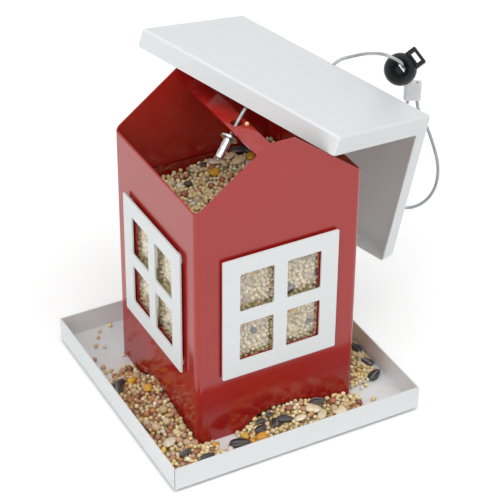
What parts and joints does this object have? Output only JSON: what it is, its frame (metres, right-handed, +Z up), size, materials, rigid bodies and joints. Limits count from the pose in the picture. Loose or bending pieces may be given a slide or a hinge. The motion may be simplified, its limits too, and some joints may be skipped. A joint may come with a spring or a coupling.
{
  "type": "hanging bird feeder",
  "caption": "House-shaped hanging bird feeder of painted sheet steel with a loose gable roof, paned windows, feed arches, a tray and a hanging cable with a ball cord lock.",
  "frame": {"origin": "middle of the tray's underside, where the feeder stands", "axes": "+Z up, +Y along the house's ridge line from the front gable to the back gable, +X towards the eave wall where the lifted roof hangs"},
  "size_m": [0.2281, 0.199, 0.1987],
  "materials": {
    "red_paint": "gloss",
    "white_paint": "satin",
    "white_plastic": "matte",
    "clear_plastic": "clear gloss",
    "bright_steel": "zinc plated",
    "bright_aluminium": "bright crimped",
    "coated_cable": "clear coated strand",
    "black_plastic": "satin",
    "milky_plastic": "translucent"
  },
  "bodies": {
    "house": {"tray": "white_paint", "hopper_shell": "red_paint", "bridge_strap": "red_paint", "window_frame_front": "white_paint", "frame_spacers_front": "white_plastic", "window_pane_front": "clear_plastic", "push_nuts_front": "bright_steel", "window_frame_right": "white_paint", "frame_spacers_right": "white_plastic", "window_pane_right": "clear_plastic", "push_nuts_right": "bright_steel", "window_frame_back": "white_paint", "frame_spacers_back": "white_plastic", "window_pane_back": "clear_plastic", "push_nuts_back": "bright_steel", "window_frame_left": "white_paint", "frame_spacers_left": "white_plastic", "window_pane_left": "clear_plastic", "push_nuts_left": "bright_steel", "cable_under_roof": "coated_cable"},
    "lifted_roof": {"roof": "white_paint", "cable_to_lock": "coated_cable", "cable_loop": "coated_cable", "loop_ferrule": "milky_plastic", "cord_lock_body": "black_plastic", "cord_lock_spring": "bright_steel"},
    "cable_stop": {"stop_ferrule": "bright_aluminium", "stop_washer": "bright_steel", "cable_end": "coated_cable"},
    "lock_plunger": {"cord_lock_plunger": "black_plastic"}
  },
  "joints": [
    {"name": "roof_lift", "type": "slide", "parent": "house", "child": "lifted_roof", "axis": [0, 0, 1], "range_m": [0, 0.13], "deforming": ["cable_under_roof"]},
    {"name": "stop_rise", "type": "slide", "parent": "house", "child": "cable_stop", "axis": [0.7, 0.3844, 0.6018], "range_m": [0, 0.0018], "deforming": ["cable_under_roof"]},
    {"name": "cord_lock_button", "type": "slide", "parent": "lifted_roof", "child": "lock_plunger", "axis": [-0.8037, 0.1703, -0.5702], "range_m": [0, 0.0025], "stiffness_N_per_m": 400, "springref_m": -0.002, "deforming": ["cord_lock_spring"]}
  ]
}
